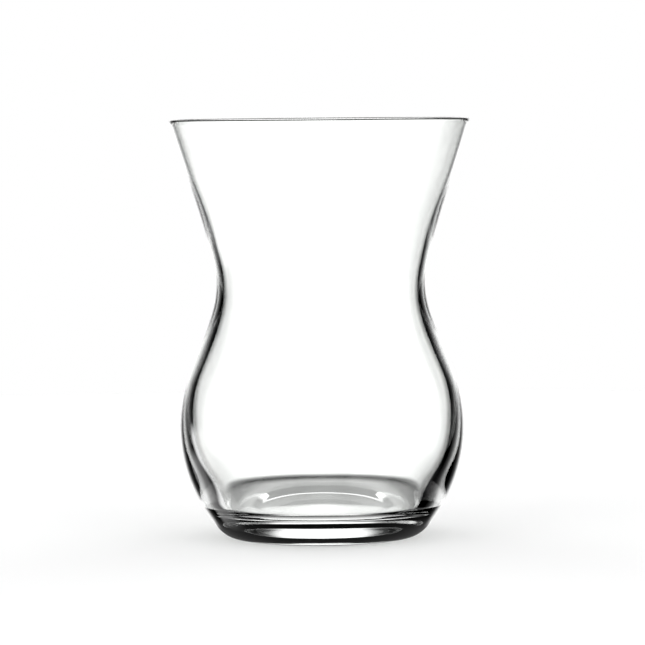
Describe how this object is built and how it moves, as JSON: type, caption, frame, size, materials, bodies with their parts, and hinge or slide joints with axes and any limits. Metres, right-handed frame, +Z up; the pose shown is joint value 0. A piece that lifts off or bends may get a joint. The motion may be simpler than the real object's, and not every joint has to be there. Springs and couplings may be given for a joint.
{
  "type": "turkish tea glass",
  "caption": "Clear slim-waisted tea glass with a flared mouth, a round belly and a thick hollow-footed base, empty.",
  "frame": {"origin": "centre of the foot ring, on the surface that the glass stands on", "axes": "+Z up along the glass's axis of revolution, through the open mouth; the glass is round, so X and Y are any two level directions"},
  "size_m": [0.0648, 0.0648, 0.09],
  "materials": {
    "clear_glass": "clear soda-lime glass, pressed and fire-polished, smooth and glossy inside and out"
  },
  "bodies": {
    "root": {"tea_glass": "clear_glass"}
  },
  "joints": []
}
